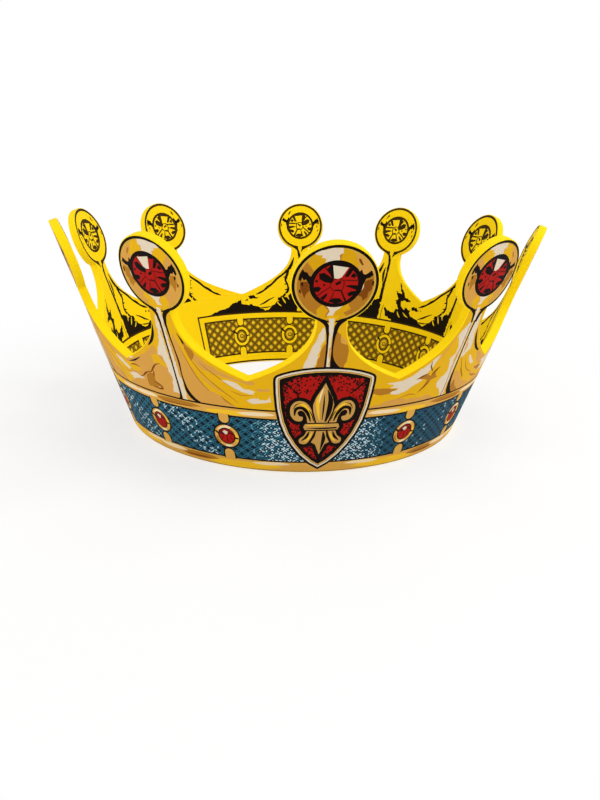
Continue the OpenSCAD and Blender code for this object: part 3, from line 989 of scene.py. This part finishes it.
def draw_inner_band(art):
    """A yellow frame, open towards the outer end, about a lattice of lozenges with a dot in each."""
    x0, end = PRINT_START, flat_x(INNER_FRAME_END)
    low, high = INNER_FRAME
    panel_low, panel_high = INNER_PANEL
    panel_end = end - FRAME_WIDTH
    start = flat_x(OUTER_END + LAP_ANGLE) - LAP_PRINT
    art.add("inner_brown", box(x0, low, end, high))
    columns = 1 + int((panel_end - start) / INNER_CELL[0])
    for x, s in lattice(start, columns, INNER_ROWS, INNER_CELL, INNER_MIDDLE):
        art.add("inner_olive", disc(*INNER_LOZENGE, 4, x, s))
        art.add("inner_gold", disc(*INNER_DOT, 6, x, s))
    bars = [(x0, low, end, panel_low), (x0, panel_high, end, high), (panel_end, low, end, high)]
    for ink, inset in (("inner_brown", -INNER_LINE / 2), ("inner_yellow", INNER_LINE / 2)):
        for left, bottom, right, top in bars:
            near = left + inset if left > x0 else left
            art.add(ink, box(near, bottom + inset, right - inset, top - inset))
    for u in medallion_turns():
        if OUTER_END + FRAME_SPARE[0] < u < INNER_FRAME_END - FRAME_SPARE[1]:
            draw_inner_medallion(art, u)


INNER_MEDALLION = ((0, "inner_line"), (0.5, "inner_yellow"), (2.3, "inner_line"), (3.1, "inner_olive"))
INNER_SWIRL = [
    ("inner_line", [(6.4, 4.2, 1.2), (4.6, 2.8, 1.3), (3.2, 1.6, 0.8)],
     [(-6.6, 0.6, 0.5), (-5, 0.2, 0.9), (-3.6, -0.2, 0.9)]),
    ("inner_gold", [(-2, 0.8, 0.5), (-0.4, 2.2, 1.3), (1.7, 1.2, 1.2), (1.9, -0.8, 0.9), (0.4, -2.2, 1.2),
      (-1.6, -1.6, 0.5)],
     [(-1, -0.2, 0.4), (0, 0.3, 1), (0.6, -0.4, 0.4)]),
]


def draw_inner_medallion(art, u):
    draw_pins(art, u, INNER_PANEL, INNER_MIDDLE, "inner_line", "inner_yellow")
    middle = spot(u, INNER_MIDDLE)
    for drawn_in, ink in INNER_MEDALLION:
        art.add(ink, middle(oval(drawn_in)))
    draw_shapes(art, middle, INNER_SWIRL)


def draw_inner():
    art = Print()
    for k in range(POINT_COUNT):
        draw_inner_point(art, k)
        draw_inner_ball(art, k)
    draw_inner_band(art)
    return art


# Mesh: each face is cut along the edges of its print, so that each ink is a field of its own.

# Cuts up the wall that keep the triangles of the rolled sheet short: degrees between them, and their ends
CUT_STEP = 3.0
CUT_ENDS = (-4, 120)
# Corners closer than this are one, and edges that turn less than this run straight on
SNAP = 2e-4
STRAIGHT = 1e-4


class Painter:
    """Finds which field lies uppermost at many places, given from left to right."""

    def __init__(self, border, ground, art):
        self.fields = [(ground, border), *art.fields]

    def covered(self, xs, ys, shape):
        """The run of places that the shape may cover, and for each whether it does."""
        a = np.asarray(shape)
        b = np.roll(a, -1, axis=0)
        low = np.searchsorted(xs, np.minimum(a[:, 0], b[:, 0]))
        high = np.searchsorted(xs, np.maximum(a[:, 0], b[:, 0]))
        first, last = low.min(), high.max()
        winding = np.zeros(last - first, int)
        for p, q, i, j in zip(a, b, low, high):
            if i < j:
                line = p[1] + (xs[i:j] - p[0]) / (q[0] - p[0]) * (q[1] - p[1])
                winding[i - first:j - first] += np.where(ys[i:j] > line, 1 if q[0] > p[0] else -1, 0)
        return first, last, winding != 0

    def inks(self, corners, triangles, inside_border):
        """Ink of each triangle, or nothing where it lies outside the border."""
        middles = corners[triangles].mean(axis=1)
        order = np.argsort(middles[:, 0])
        xs, ys = middles[order, 0], middles[order, 1]
        top = np.zeros(len(order), int)
        for i, (_, shape) in enumerate(self.fields):
            first, last, inside = self.covered(xs, ys, shape)
            top[first:last][inside] = i
        found = [None] * len(order)
        for place, i in zip(order, top):
            if inside_border[place]:
                found[place] = self.fields[i][0]
        return found


def cut_plane(points, edges, border_count):
    """Triangles of the plane with these edges and a border of the first points in it.

    Also says which of them lie inside the border, and where each given point went."""
    border = list(range(border_count))
    made = delaunay_2d_cdt([Vector(p) for p in points], edges, [border], 0, SNAP, True)
    corners = np.array([tuple(v) for v in made[0]])
    where = {i: out for out, ins in enumerate(made[3]) for i in ins}
    return corners, np.array(made[2]), [bool(ids) for ids in made[5]], where


def loop_edges(start, count):
    return [(start + i, start + (i + 1) % count) for i in range(count)]


def visible_edges(corners, triangles, inks):
    """Edges where one ink meets another, joined up where they run straight on."""
    sides = {}
    for triangle, ink in zip(triangles.tolist(), inks):
        for i in range(3):
            a, b = triangle[i - 1], triangle[i]
            sides.setdefault((min(a, b), max(a, b)), []).append(ink)
    near = {}
    for (a, b), found in sides.items():
        if len(found) == 2 and found[0] != found[1] and None not in found:
            near.setdefault(a, set()).add(b)
            near.setdefault(b, set()).add(a)
    for v in list(near):
        if len(near[v]) != 2:
            continue
        a, b = near[v]
        d, e = corners[v] - corners[a], corners[b] - corners[v]
        bend = abs(d[0] * e[1] - d[1] * e[0])
        if bend < STRAIGHT * hypot(*d) * hypot(*e) and b not in near[a]:
            near[a].remove(v)
            near[b].remove(v)
            near[a].add(b)
            near[b].add(a)
            del near[v]
    return [(a, b) for a, others in near.items() for b in others if a < b]


def cut_face(depth, ground, art):
    """Flat triangles of one face, each with its ink, and the face's border between outline corners."""
    border = outline_ring(depth, EDGE_ROUND)
    painter = Painter(border, ground, art)
    points, edges = list(border), []
    for _, shape in art.fields:
        edges += loop_edges(len(points), len(shape))
        points += shape
    corners, triangles, inside, where = cut_plane(points, edges, len(border))
    points, edges, number = list(border), [], {}
    for edge in visible_edges(corners, triangles, painter.inks(corners, triangles, inside)):
        for v in edge:
            if v not in number:
                number[v] = len(points)
                points.append(tuple(corners[v]))
        edges.append(tuple(number[v] for v in edge))
    for i in range(int((INNER_END - OUTER_END) / CUT_STEP)):
        x = flat_x(OUTER_END + (i + 0.5) * CUT_STEP)
        edges.append((len(points), len(points) + 1))
        points += [(x, s) for s in CUT_ENDS]
    corners, triangles, inside, where = cut_plane(points, edges, len(border))
    inks = painter.inks(corners, triangles, inside)
    shown = [(t, ink) for t, ink in zip(triangles.tolist(), inks) if ink]
    directed = {(t[i - 1], t[i]) for t, _ in shown for i in range(3)}
    after = {a: b for a, b in directed if (b, a) not in directed}
    chains = []
    for i, j in loop_edges(0, len(border)):
        chain = [where[i]]
        while chain[-1] != where[j]:
            chain.append(after.pop(chain[-1]))
        chains.append(chain)
    used = {v: i for i, v in enumerate(sorted({v for t, _ in shown for v in t}))}
    return ([tuple(corners[v]) for v in used],
            [([used[v] for v in t], ink) for t, ink in shown],
            [[used[v] for v in chain] for chain in chains])


def edge_profile(steps=2):
    """Depth, inset and slope of the rings that round the cut edge, from the outer face to the inner one."""
    outer = []
    for i in range(1, steps + 1):
        a = pi / 2 * i / steps
        outer.append((EDGE_ROUND * (1 - cos(a)), EDGE_ROUND * (1 - sin(a)), a))
    inner = [(SHEET - d, inset, pi - a) for d, inset, a in reversed(outer)]
    return outer + inner


# The lower edge is cut level where its direction lies this close to straight down
LEVEL_NORMAL = -0.9


def build_sheet(materials):
    """Corners, normals, faces and inks of the sheet: two printed faces and the cut edge between them."""
    verts, normals, faces, slots = [], [], [], []

    def add_face(depth, ground, art, way):
        flat, triangles, chains = cut_face(depth, ground, art)
        start = len(verts)
        for p in flat:
            _, _, out = axes(p[0])
            verts.append(settled(*p, depth))
            normals.append(facing(out * way, *p))
        for f, ink in triangles:
            faces.append([start + i for i in (f if way > 0 else reversed(f))])
            slots.append(materials[ink])
        return [[start + i for i in chain] for chain in chains]

    def add_ring(depth, inset, angle):
        start = len(verts)
        for (x, s), (nx, ns, _), (_, _, low) in zip(outline_ring(depth, inset), NORMALS, OUTLINE):
            verts.append(settled(x, s, depth))
            along, up, out = axes(x)
            side = along * nx + up * ns
            if low and ns < LEVEL_NORMAL:
                side = Vector((0, 0, -1))
            normal = (out * cos(angle) + side * sin(angle)).normalized()
            normals.append(facing(normal, x, s))
        return start

    def add_wall(*corners):
        faces.append(list(corners))
        slots.append(materials["foam"])

    outer = add_face(0, "gold", draw_outer(), 1)
    rings = [add_ring(*p) for p in edge_profile()]
    inner = add_face(SHEET, "inner_yellow", draw_inner(), -1)
    n = len(OUTLINE)
    for i in range(n):
        j = (i + 1) % n
        first, last = rings[0], rings[-1]
        for a, b in zip(outer[i], outer[i][1:]):
            add_wall(a, first + i, b)
        add_wall(outer[i][-1], first + i, first + j)
        for a, b in zip(rings, rings[1:]):
            add_wall(a + i, b + i, b + j, a + j)
        for a, b in zip(inner[i], inner[i][1:]):
            add_wall(last + i, a, b)
        add_wall(last + i, inner[i][-1], last + j)
    return verts, normals, faces, slots


# Materials

def linear(code):
    """Linear colour of an sRGB code."""
    def channel(text):
        c = int(text, 16) / 255
        return c / 12.92 if c <= 0.04045 else ((c + 0.055) / 1.055) ** 2.4
    return (*[channel(code[i:i + 2]) for i in (0, 2, 4)], 1)


WHITE = (1, 1, 1, 1)
FLOOR_GREY = (0.94, 0.94, 0.94, 1)


def set_inputs(node, values):
    for name, value in values.items():
        node.inputs[name].default_value = value
    return node


def new_node(nodes, kind, values):
    return set_inputs(nodes.new(kind), values)


def new_object(name, data):
    made = bpy.data.objects.new(name, data)
    bpy.context.scene.collection.objects.link(made)
    return made


def join(links, *wires):
    """Links an output of one node to an input of another, wire by wire."""
    for source, output, target, socket in wires:
        links.new(source.outputs[output], target.inputs[socket])


def printed_material(name, code):
    """Matte foam in one colour, with fine closed cells in the bump and an uneven sheen."""
    material = bpy.data.materials.new(name)
    material.use_nodes = True
    nodes, links = material.node_tree.nodes, material.node_tree.links
    shader = set_inputs(nodes["Principled BSDF"], {"Base Color": linear(code), "Specular IOR Level": 0.05})
    where = nodes.new("ShaderNodeTexCoord")
    cells = new_node(nodes, "ShaderNodeTexVoronoi", {"Scale": 2600})
    patches = new_node(nodes, "ShaderNodeTexNoise", {"Scale": 90, "Detail": 4})
    sheen = new_node(nodes, "ShaderNodeMapRange", {
        "From Min": 0.3, "From Max": 0.7, "To Min": 0.5, "To Max": 0.68})
    bump = new_node(nodes, "ShaderNodeBump", {"Strength": 0.12, "Distance": 0.0002})
    join(links,
         (where, "Object", cells, "Vector"),
         (where, "Object", patches, "Vector"),
         (patches, "Fac", sheen, "Value"),
         (sheen, "Result", shader, "Roughness"),
         (cells, "Distance", bump, "Height"),
         (bump, "Normal", shader, "Normal"))
    return material


def make_crown():
    mesh = bpy.data.meshes.new("foam_crown")
    materials = {}
    for i, (ink, code) in enumerate(INKS.items()):
        mesh.materials.append(printed_material(ink, code))
        materials[ink] = i
    verts, normals, faces, slots = build_sheet(materials)
    low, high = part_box("crown")
    even = [rolled(x, s, d) for d in (0, SHEET) for x, s in outline_ring(d, 0)]
    shift = Vector()
    for i in (0, 1):
        reach = [v[i] for v in even]
        shift[i] = (low[i] + high[i]) / 2 - (min(reach) + max(reach)) / 2 * MILLIMETRE
    mesh.from_pydata([v * MILLIMETRE + shift for v in verts], [], faces)
    mesh.polygons.foreach_set("material_index", slots)
    mesh.polygons.foreach_set("use_smooth", [True] * len(faces))
    mesh.normals_split_custom_set_from_vertices(normals)
    mesh.update()
    return new_object("foam_crown", mesh), shift


crown, axis_shift = make_crown()
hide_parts("crown")
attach(crown, "root")


# Floor, light and camera

def direct_rays(nodes, links):
    """One for camera rays and for rays that gloss or glass sends on, else nought."""
    rays = nodes.new("ShaderNodeLightPath")
    total = rays.outputs["Is Camera Ray"]
    for kind in ("Is Glossy Ray", "Is Transmission Ray"):
        add = nodes.new("ShaderNodeMath")
        add.operation = "ADD"
        add.use_clamp = True
        links.new(total, add.inputs[0])
        links.new(rays.outputs[kind], add.inputs[1])
        total = add.outputs["Value"]
    return total


FLOOR_RADIUS = 6
FLOOR_DROP = 0.0004


def make_floor():
    """A pale floor that keeps the crown's shadow and fades to plain white away from it."""
    bpy.ops.mesh.primitive_circle_add(
        vertices=96, radius=FLOOR_RADIUS, fill_type="NGON", location=(0, 0, -FLOOR_DROP))
    floor = bpy.context.object
    floor.name = "floor"
    material = bpy.data.materials.new("pale_floor")
    material.use_nodes = True
    nodes, links = material.node_tree.nodes, material.node_tree.links
    shader = set_inputs(nodes["Principled BSDF"], {"Base Color": FLOOR_GREY, "Roughness": 0.9})
    glow = new_node(nodes, "ShaderNodeEmission", {"Color": WHITE})
    where = nodes.new("ShaderNodeTexCoord")
    length = nodes.new("ShaderNodeVectorMath")
    length.operation = "LENGTH"
    far = new_node(nodes, "ShaderNodeMapRange", {"From Min": 0.13, "From Max": 0.34, "To Min": 0.7})
    far.interpolation_type = "SMOOTHSTEP"
    seen = nodes.new("ShaderNodeMath")
    seen.operation = "MULTIPLY"
    links.new(direct_rays(nodes, links), seen.inputs[1])
    blend = nodes.new("ShaderNodeMixShader")
    join(links,
         (where, "Object", length, 0),
         (length, "Value", far, "Value"),
         (far, "Result", seen, 0),
         (seen, "Value", blend, "Fac"),
         (shader, "BSDF", blend, 1),
         (glow, "Emission", blend, 2),
         (blend, "Shader", nodes["Material Output"], "Surface"))
    floor.data.materials.append(material)


def make_world():
    """Soft light from all round, seen by the camera as plain white."""
    world = bpy.data.worlds.new("studio")
    bpy.context.scene.world = world
    world.use_nodes = True
    nodes, links = world.node_tree.nodes, world.node_tree.links
    soft = set_inputs(nodes["Background"], {"Color": WHITE, "Strength": 0.5})
    white = new_node(nodes, "ShaderNodeBackground", {"Color": WHITE, "Strength": 1})
    blend = nodes.new("ShaderNodeMixShader")
    links.new(direct_rays(nodes, links), blend.inputs["Fac"])
    join(links,
         (soft, "Background", blend, 1),
         (white, "Background", blend, 2),
         (blend, "Shader", nodes["World Output"], "Surface"))


# Name, place, power and size of each lamp, all of which shine on the crown's middle
LAMPS = [
    ("key", (0.75, -0.2, 0.9), 5.7, 0.8),
    ("left", (-1.0, -0.5, 0.22), 5.4, 0.9),
    ("right", (0.8, -0.8, 0.45), 2.2, 0.9),
    ("top", (0.0, 0.2, 1.2), 2.6, 0.9),
]
LAMP_TARGET = (0, 0, 0.05)


def make_lamp(name, place, power, size):
    data = bpy.data.lights.new(name, "AREA")
    data.energy = power
    data.shape = "DISK"
    data.size = size
    lamp = new_object(name, data)
    lamp.location = place
    lamp.rotation_euler = (Vector(LAMP_TARGET) - Vector(place)).to_track_quat("-Z", "Y").to_euler()


# The photograph's viewpoint: degrees and metres, with the lens and its middle in pixels of the picture
VIEW_TURN = -6.6
VIEW_RISE = 12.08
VIEW_DISTANCE = 0.377
VIEW_TARGET_HEIGHT = 0.0552
VIEW_ROLL = 1.33
FOCAL_PIXELS = 659.8
PICTURE = (600, 800)
PRINCIPAL_POINT = (297.2, 310.4)
SENSOR = 36.0
CLIP_START = 0.01


def make_camera():
    """The photograph's own viewpoint; the shift is the crop that sets the crown above the middle."""
    data = bpy.data.cameras.new("camera")
    long_side = max(PICTURE)
    data.sensor_width = SENSOR
    data.lens = FOCAL_PIXELS * SENSOR / long_side
    data.shift_x = (PICTURE[0] / 2 - PRINCIPAL_POINT[0]) / long_side
    data.shift_y = (PRINCIPAL_POINT[1] - PICTURE[1] / 2) / long_side
    data.clip_start = CLIP_START
    a, e = radians(VIEW_TURN), radians(VIEW_RISE)
    back = Vector((sin(a) * cos(e), -cos(a) * cos(e), sin(e)))
    camera = new_object("camera", data)
    camera.location = Vector((axis_shift.x, axis_shift.y, VIEW_TARGET_HEIGHT)) + back * VIEW_DISTANCE
    turned = (-back).to_track_quat("-Z", "Y") @ Quaternion((0, 0, 1), radians(VIEW_ROLL))
    camera.rotation_euler = turned.to_euler()
    bpy.context.scene.camera = camera


make_floor()
make_world()
for lamp in LAMPS:
    make_lamp(*lamp)
make_camera()
bpy.context.scene.view_settings.view_transform = "Standard"
